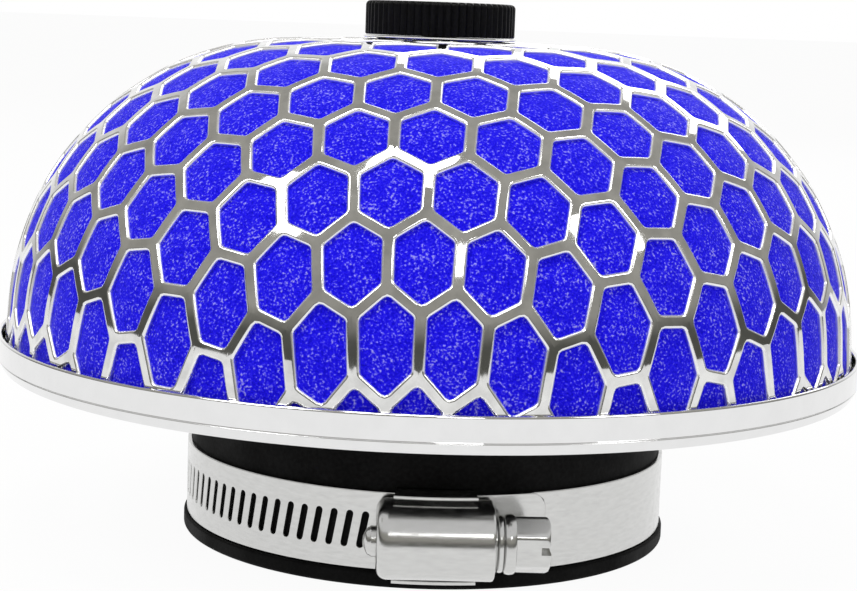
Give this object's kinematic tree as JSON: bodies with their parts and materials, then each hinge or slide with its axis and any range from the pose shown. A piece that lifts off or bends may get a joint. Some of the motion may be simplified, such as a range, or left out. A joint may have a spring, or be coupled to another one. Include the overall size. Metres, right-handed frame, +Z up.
{
  "type": "foam air filter",
  "caption": "Mushroom foam air filter: a blue foam cap under a chrome honeycomb cage, on a chrome rim with a rubber neck and a worm drive clamp.",
  "frame": {"origin": "middle of the neck's lower end, in the plane that the filter stands on", "axes": "+Z up along the neck, towards the knob; -Y towards the clamp's screw; +X towards the screw's head"},
  "size_m": [0.15, 0.15, 0.0926],
  "materials": {
    "plated_cage": "chrome plated plastic, mirror bright",
    "blue_foam": "open cell foam, matt",
    "black_plastic": "moulded, satin",
    "chrome_plate": "mirror bright",
    "zinc_steel": "zinc plated",
    "brass": "turned",
    "black_rubber": "matt",
    "clamp_steel": "stainless, bright rolled"
  },
  "bodies": {
    "filter": {"cage": "plated_cage", "foam_element": "blue_foam", "support_basket": "black_plastic", "base_plate": "chrome_plate", "spider": "zinc_steel", "spider_rivets": "zinc_steel", "centre_stud": "zinc_steel", "stud_nuts": "zinc_steel", "crown_washer": "chrome_plate", "neck_sleeve": "black_rubber", "clamp_band": "clamp_steel", "clamp_housing": "clamp_steel", "clamp_saddle": "clamp_steel"},
    "knob": {"knob": "black_plastic", "knob_insert": "brass"},
    "clamp_screw": {"clamp_screw": "clamp_steel"}
  },
  "joints": [
    {"name": "knob_turn", "type": "hinge", "parent": "filter", "child": "knob", "pos_m": [0, 0, 0.0868], "axis": [0, 0, 1], "continuous": true},
    {"name": "clamp_screw_turn", "type": "hinge", "parent": "filter", "child": "clamp_screw", "pos_m": [0.00206, -0.04725, 0.00905], "axis": [0.999, 0.0436, 0], "continuous": true}
  ]
}
